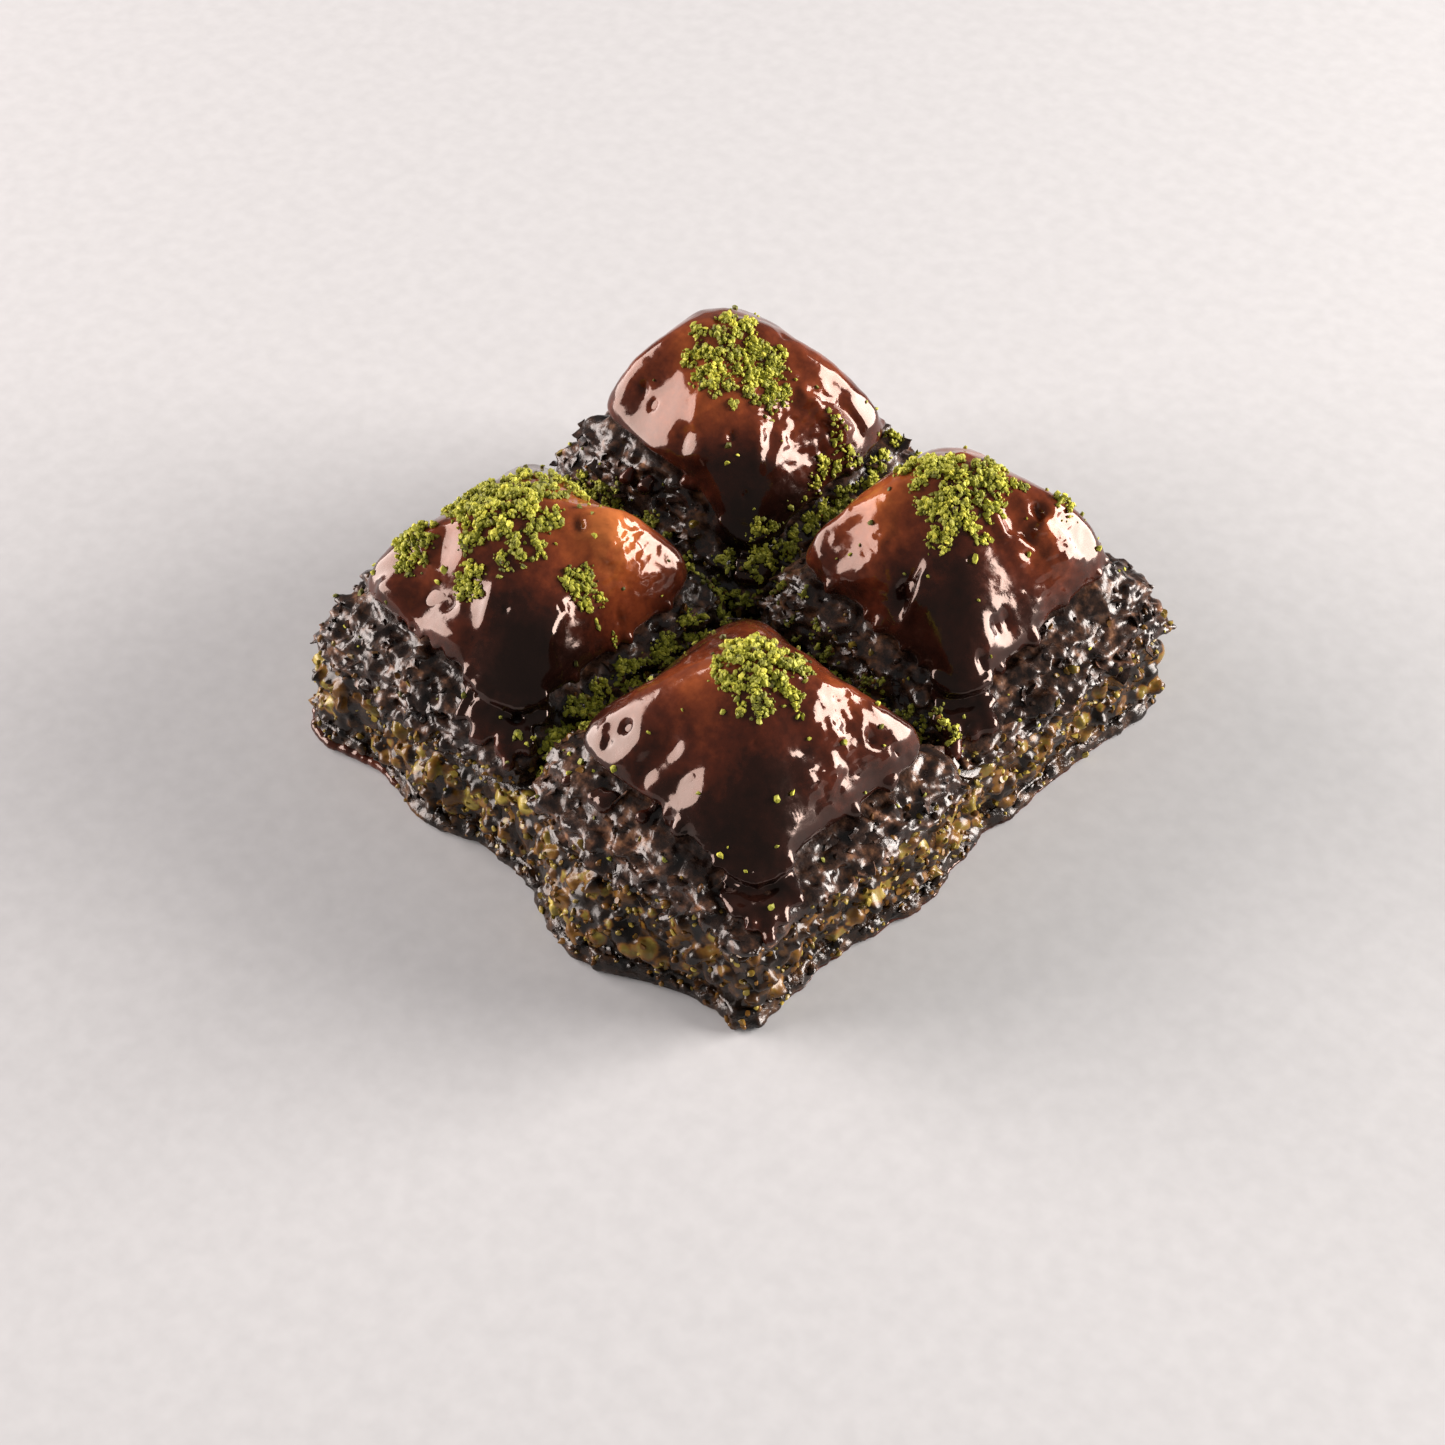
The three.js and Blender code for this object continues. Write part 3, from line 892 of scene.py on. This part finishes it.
def side_wall(node, name, top, columns, rows):
    """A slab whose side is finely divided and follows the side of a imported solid."""
    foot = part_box(node)[0].z
    bpy.ops.mesh.primitive_cylinder_add(
        vertices=columns, radius=BESIDE, depth=top - foot, location=(0, 0, (foot + top) / 2)
    )
    piece = bpy.context.object
    piece.name = name
    bpy.ops.object.transform_apply(location=True)
    bpy.ops.object.mode_set(mode="EDIT")
    shape = bmesh.from_edit_mesh(piece.data)
    bpy.ops.mesh.select_all(action="DESELECT")
    for edge in shape.edges:
        edge.select = abs(edge.verts[0].co.z - edge.verts[1].co.z) > 0.1 * MM
    bmesh.update_edit_mesh(piece.data)
    bpy.ops.mesh.subdivide(number_cuts=rows - 1)
    bpy.ops.object.mode_set(mode="OBJECT")
    solid = surface(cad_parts[node])
    for vertex in piece.data.vertices:
        nth = round(math.atan2(vertex.co.y, vertex.co.x) / math.tau * columns) % columns
        out = out_from(even_turn(nth, columns))
        height = min(max(vertex.co.z, foot + 0.05 * MM), top - 0.05 * MM)
        hit, _ = first_hit(solid, out * BESIDE + UP * height, -out)
        vertex.co.x, vertex.co.y = hit.x, hit.y
    return piece


def filling_top():
    """The height just under the sheets that lie on the filling."""
    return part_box("flaky_sheets_se")[0].z - 0.3 * MM


def filling_bed():
    """The inside of the filling, which shows only at the bottom of the cuts."""
    return side_wall("pistachio_filling", "filling_bed", filling_top(), 300, 4)


def filling_rubble(chips, lumps, seed):
    """The filling's side: nut and crumbs of all sizes, sunk in syrup that has run between them."""
    rubble = copy_of("pistachio_filling", "filling_rubble")
    inside = copy_of("pistachio_filling", "inside")
    work_on(inside)
    bpy.ops.transform.resize(value=(0.93, 0.93, 2), center_override=(0, 0, filling_top() / 2))
    bpy.ops.object.transform_apply(location=True, scale=True)
    apply_modifier(rubble, "BOOLEAN", operation="DIFFERENCE", object=inside)
    bpy.data.objects.remove(inside)
    evened(rubble, 0.8)
    roughen(rubble, grain=3.4, height=2.0, seed=seed)
    dice = random.Random(seed)
    low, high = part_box("pistachio_filling")
    body = surface(rubble)
    corner = Vector((high.x, low.y, low.z))  # the front one, near which the nuts are painted darker as painted shade
    places, sizes, nuts = [], [], KDTree(2000)
    foot, top = low.z + 0.6 * MM, filling_top()
    kinds = ((chips, 200, 1.2, 2.1), (chips, 380, 0.6, 1.2), (lumps, 620, 0.5, 1.3))
    for shapes, count, small, large in kinds:
        for hit, out in side_spots(dice, body, MIDDLE, count, foot, top):
            size = dice.uniform(small, large)
            centre = hit - out * dice.uniform(-0.3, 0.4) * size * MM
            nuts.insert(centre, len(places))
            tint = dice.uniform(0.4, 0.95) if shapes is chips else dice.uniform(0.05, 0.35)
            # Painted shade: nuts near the front corner are darker.
            tint *= 1 - 0.35 * math.exp(-((hit - corner).length / (15 * MM)) ** 2)
            tint *= 0.82 if out.x > 0.7 else 1  # painted shade: the eastern side is darker
            places.append((dice.choice(shapes), laid(dice, centre, size, squash=0.85), tint))
            sizes.append(size * MM)
    nuts.balance()
    merge(rubble, joined("nuts", places), 0.4)
    apply_modifier(rubble, "SMOOTH", factor=0.5, iterations=1)
    tints = []
    for vertex in rubble.data.vertices:
        near_by = nuts.find_n(vertex.co, 4)
        _, which, far = min(near_by, key=lambda found: found[2] / sizes[found[1]])
        bare = 1 - max(0, far / sizes[which] - 0.8) / 0.35
        tints.append(places[which][2] * max(0, min(bare, 1)))
    set_attribute(rubble, "tint", tints)
    return rubble


def loose_pistachio(sides, shapes, seed):
    """Small bits of nut in the filling's sides, up among the sheets and down on the bottom."""
    dice = random.Random(seed)
    places = []
    for hit, _ in side_spots(dice, surface(*sides), MIDDLE, 1500, 0.9 * MM, 16 * MM):
        size = dice.uniform(0.25, 0.6)
        shape, place = dice.choice(shapes), laid(dice, hit, size, squash=0.8)
        places.append((shape, place, dice.uniform(0.3, 0.95)))
    return joined("loose_pistachio", places)


def sticky_crumbs(sides, shapes, seed):
    """Dark crumbs of cocoa and nut skin that stick in the syrup, down to the edge of the bottom."""
    dice = random.Random(seed)
    places = []
    for hit, out in side_spots(dice, surface(*sides), MIDDLE, 520, 1.5 * MM, 3.8 * MM):
        size = 0.3 + 0.8 * dice.random() ** 1.6
        shape, place = dice.choice(shapes), laid(dice, hit - out * 0.2 * MM, size, squash=0.75)
        places.append((shape, place, dice.random()))
    return joined("sticky_crumbs", places)


def bottom_sheet(seed):
    """The soaked bottom pastry, its side rough with crumbs."""
    low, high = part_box("bottom_pastry")
    bottom = side_wall("bottom_pastry", "bottom_sheet", high.z, 800, 8)
    mark_group(bottom, "side", lambda place: low.z + 0.3 * MM < place.z < high.z - 0.2 * MM)
    roughen(bottom, grain=3, height=1.4, mask="side", seed=seed)
    roughen(bottom, grain=1.1, height=0.5, mask="side", seed=seed + 1)
    return bottom


# Where syrup has seeped out from under the bottom: the ends of each pool and how thick it is.
POOLS = (((-46.0, -37.0), (-24.0, -45.0), 0.8), ((44.0, -34.0), (44.0, 38.0), 0.45))


def syrup_pools(bottom, seed):
    """Thin glossy lips of syrup at the foot of the bottom sheet."""
    dice = random.Random(seed)
    solid = surface(bottom)
    beads = []
    for start, end, thick in POOLS:
        count = round((Vector(end) - Vector(start)).length / 0.5)
        for i in range(count + 1):
            place = Vector(start).lerp(Vector(end), i / count)
            out = Vector((place.x, place.y, 0)).normalized()
            hit, _ = first_hit(solid, out * BESIDE + UP * 0.9 * MM, -out)
            size = dice.uniform(0.9, 1.2) * thick * (1 - abs(2 * i / count - 1) ** 3 * 0.5)
            beads.append((Vector((hit.x, hit.y, size * MM)) - out * 0.3 * MM, size))
    pools = strung("syrup_pools", beads)
    evened(pools, 0.25)
    apply_modifier(pools, "SMOOTH", factor=0.5, iterations=6)
    set_attribute(pools, "thinness_and_painted_light", [0.3] * len(pools.data.vertices))
    return pools


# ---- Ground pistachio -----------------------------------------------------------------------

# Heaps on the peaks: middle, radius in millimetres, number of clumps.
HEAPS = {
    "se": (((24.3, -17.5), 6.2, 46), ((19.5, -16.0), 3.0, 7)),
    "sw": (
        ((-20.6, -19.0), 7.2, 50),
        ((-28.0, -17.0), 6.0, 28),
        ((-24.0, -10.0), 6.5, 20),
        ((-30.2, -28.0), 3.4, 15),
        ((-8.4, -17.8), 2.4, 9),
        ((-19.4, -27.8), 2.0, 6),
    ),
    "ne": (
        ((21.8, 22.4), 6.3, 38),
        ((16.0, 22.5), 4.0, 13),
        ((23.8, 27.5), 4.0, 11),
        ((23.0, 18.0), 2.5, 7),
    ),
    "nw": (((-20.3, 22.4), 6.2, 42), ((-16.0, 25.6), 3.5, 10), ((-14.4, 24.4), 2.6, 7)),
}

# Clumps that fell into the cuts: ends of the line, how far they stray from it, number, tint.
CUTS = (
    ((0.0, -34.0), (0.0, -3.0), 1.3, 96, 0.6),
    ((-4.0, 4.0), (-3.6, 36.0), 1.4, 52, 0.55),
    ((-35.0, 3.8), (-9.0, 3.4), 1.2, 34, 0.55),
    ((6.0, 3.4), (33.0, 3.8), 1.0, 28, 0.35),
    ((-5.0, 8.0), (3.0, 4.0), 2.4, 26, 0.4),
)

# Single bright clumps: place and how wide.
CLUMPS = (
    ((-1.8, -22.0), 1.8),
    ((-0.3, -34.4), 1.7),
    ((-1.0, -11.6), 1.7),
    ((-5.0, 24.0), 1.7),
    ((-4.0, 13.0), 1.8),
    ((-4.7, 30.0), 1.5),
    ((-32.6, 4.4), 1.7),
    ((-36.0, 3.6), 1.5),
    ((-3.0, 2.5), 1.6),
    ((35.4, 3.9), 1.6),
    ((37.5, 4.4), 1.3),
    ((30.5, 34.0), 2.0),
    ((-3.0, 44.0), 1.2),
    ((-5.5, 40.0), 1.5),
)


def clump(dice, ground, x, y, wide, tint, shapes):
    """Granules stuck together where they fell: the lowest of them lie on what is below, painted
    darker as painted shade.
    """
    for _ in range(round(8 + 15 * wide**2)):
        across, along = dice.gauss(0, 0.42) * wide, dice.gauss(0, 0.42) * wide
        hit, _ = first_hit(ground, Vector((x + across, y + along, 0)) * MM + UP * ABOVE, DOWN)
        if hit:
            level = max(0, 1 - (across**2 + along**2) / wide**2) * dice.random()
            size = 0.14 + 0.3 * dice.random() ** 1.5
            # Painted shade: granules lower in the clump are darker.
            shade = tint + 0.3 * (level - 0.35) + dice.gauss(0, 0.13)
            place = hit + UP * (0.75 * wide * level + 0.2 * size) * MM
            yield dice.choice(shapes), laid(dice, place, size), shade


def heap(square, crust, shapes, seed):
    """Ground nut heaped on a peak, dense in the middle and in separate clumps at the rim."""
    dice = random.Random(seed)
    ground = surface(crust)
    places = []
    for (x, y), radius, count in HEAPS[square]:
        for i in range(count):
            reach = radius * math.sqrt((i + 0.5) / count)
            turn = i * GOLDEN_TURN + dice.uniform(-0.4, 0.4)
            wide = dice.uniform(0.8, 1.5) * (1.15 - 0.35 * reach / radius)
            spot = (x + reach * math.cos(turn), y + reach * math.sin(turn))
            places.extend(clump(dice, ground, *spot, wide, dice.uniform(0.35, 0.75), shapes))
    return joined(f"ground_pistachio_{square}", places)


def cut_fill(pieces, shapes, seed):
    """Clumps that gathered in the two cuts between the squares."""
    dice = random.Random(seed)
    ground = surface(*pieces)
    places = []
    for start, end, spread, count, tint in CUTS:
        for i in range(count):
            place = Vector(start).lerp(Vector(end), (i + dice.random()) / count)
            x, y = place.x + dice.gauss(0, spread), place.y + dice.gauss(0, spread)
            wide, shade = dice.uniform(0.6, 1.4), tint + dice.gauss(0, 0.12)
            places.extend(clump(dice, ground, x, y, wide, shade, shapes))
    for (x, y), wide in CLUMPS:
        places.extend(clump(dice, ground, x, y, wide, 0.65, shapes))
    return joined("granules_in_cuts", places)


def strays(pieces, shapes, count, seed):
    """Single granules that fell all over the block."""
    dice = random.Random(seed)
    low, high = cad_box
    ground = surface(*pieces)
    places = []
    for _ in range(count):
        spot = Vector((dice.uniform(low[0], high[0]), dice.uniform(low[1], high[1]), ABOVE))
        hit, normal = first_hit(ground, spot, DOWN)
        if hit:
            size = 0.2 + 0.35 * dice.random() ** 2
            shape, place = dice.choice(shapes), laid(dice, hit + normal * 0.3 * size * MM, size)
            places.append((shape, place, dice.uniform(0.1, 0.9)))
    return joined("stray_granules", places)


# ---- Build ----------------------------------------------------------------------------------

glaze = chocolate_glaze()
sheets = soaked_sheets()
ground_nut = ground_pistachio()
wet_nut = syrupy_pistachio()
syrup = syrup_crumb()

granules = [granule_shape(seed) for seed in range(12)]
chips = [chunk_shape(seed, cuts=3, crumple=0.35) for seed in range(20, 32)]
lumps = [chunk_shape(seed, cuts=1, crumple=1.1) for seed in range(40, 52)]
scraps = [scrap_shape(seed) for seed in range(60, 70)]

# Each piece has a seed of its own, and otherwise the seeds have no meaning.
crusts, stacks = [], []
for i, square in enumerate(SQUARES):
    crust = glazed_crust(square, 40 + 10 * i)
    stack = flaky_stack(square, crust, lumps, 80 + 10 * i)
    crumbs = crumbled_pastry(square, stack, crust, lumps, scraps, 130 + i)
    finish_piece(crumbs, sheets, "flaky_pastry", crease=50)
    caught = nut_in_stack(square, stack, crust, chips, 135 + i)
    finish_piece(caught, wet_nut, "pistachio_filling", crease=35)
    heaped = heap(square, crust, granules, 140 + i)
    finish_piece(heaped, ground_nut, "pistachio_filling", crease=20)
    finish_piece(crust, glaze, "glazed_crust", f"glazed_crust_{square}")
    finish_piece(stack, sheets, "flaky_pastry", f"flaky_sheets_{square}")
    crusts.append(crust)
    stacks.append(stack)

bed = filling_bed()
rubble = filling_rubble(chips, lumps, 160)
bottom = bottom_sheet(162)
loose = loose_pistachio([rubble, bottom, *stacks], chips, 161)
finish_piece(loose, wet_nut, "pistachio_filling", crease=35)
stuck = sticky_crumbs([rubble, bottom], lumps, 164)
finish_piece(stuck, syrup, "bottom_pastry", crease=50)
finish_piece(bed, syrup, "pistachio_filling", "pistachio_filling")
finish_piece(rubble, wet_nut, "pistachio_filling")
finish_piece(bottom, syrup, "bottom_pastry", "bottom_pastry")
finish_piece(syrup_pools(bottom, 163), glaze, "bottom_pastry")

solids = [*crusts, *stacks, bed]
finish_piece(strays(solids, granules, 260, 170), ground_nut, "pistachio_filling", crease=20)
finish_piece(cut_fill(solids, granules, 171), ground_nut, "pistachio_filling", crease=20)


# ---- Stage ----------------------------------------------------------------------------------

AIM = Vector((6.9, -8.1, 9.3)) * MM  # what the camera looks at
VIEW_TURN, VIEW_RISE, VIEW_ROLL = math.radians(46.3), math.radians(44), math.radians(-2.65)
VIEW_DISTANCE = 392 * MM


def softbox(name, turn, rise, distance, width, height, power, code):
    light = bpy.data.lights.new(name, "AREA")
    light.shape = "RECTANGLE"
    light.size = width
    light.size_y = height
    light.energy = power
    light.color = colour(code)[:3]
    lamp = new_object(name, light)
    out = direction(math.radians(turn), math.radians(rise))
    lamp.location = out * distance
    lamp.rotation_euler = out.to_track_quat("Z", "Y").to_euler()


def stage():
    bpy.ops.mesh.primitive_plane_add(size=4, location=(0, 0, -0.05 * MM))
    floor = bpy.context.object
    floor.name = "pale_floor"
    bpy.ops.object.transform_apply(location=True)
    material, tree, shader = new_material("pale_paper", Roughness=0.9)
    place = add(tree, "ShaderNodeTexCoord").outputs["Object"]
    fibre = noise(tree, place, 3, detail=2)
    colour_by(tree, shader, fibre, ((0.3, "#c4c6c9"), (0.7, "#cacccf")))
    floor.data.materials.append(material)

    world = bpy.data.worlds.new("studio")
    world.use_nodes = True
    world.node_tree.nodes["Background"].inputs["Color"].default_value = (0.2, 0.2, 0.2, 1)
    bpy.context.scene.world = world
    softbox("left_softbox", -58, 17, 0.9, 0.86, 0.62, 18, "#fff2ec")
    softbox("right_softbox", 140, 15, 0.9, 0.66, 0.5, 24, "#fff5ee")

    back = direction(VIEW_TURN, VIEW_RISE)
    right = out_from(VIEW_TURN)
    upright = Matrix((right, back.cross(right), back)).transposed()
    camera = bpy.data.cameras.new("camera")
    camera.lens = 72
    camera.sensor_width = 36
    camera.clip_start = 0.01
    viewer = new_object("camera", camera)
    viewer.matrix_world = Matrix.Translation(AIM + back * VIEW_DISTANCE) @ (
        upright @ Matrix.Rotation(VIEW_ROLL, 3, "Z")
    ).to_4x4()
    bpy.context.scene.camera = viewer
    bpy.context.scene.view_settings.view_transform = "Standard"


stage()
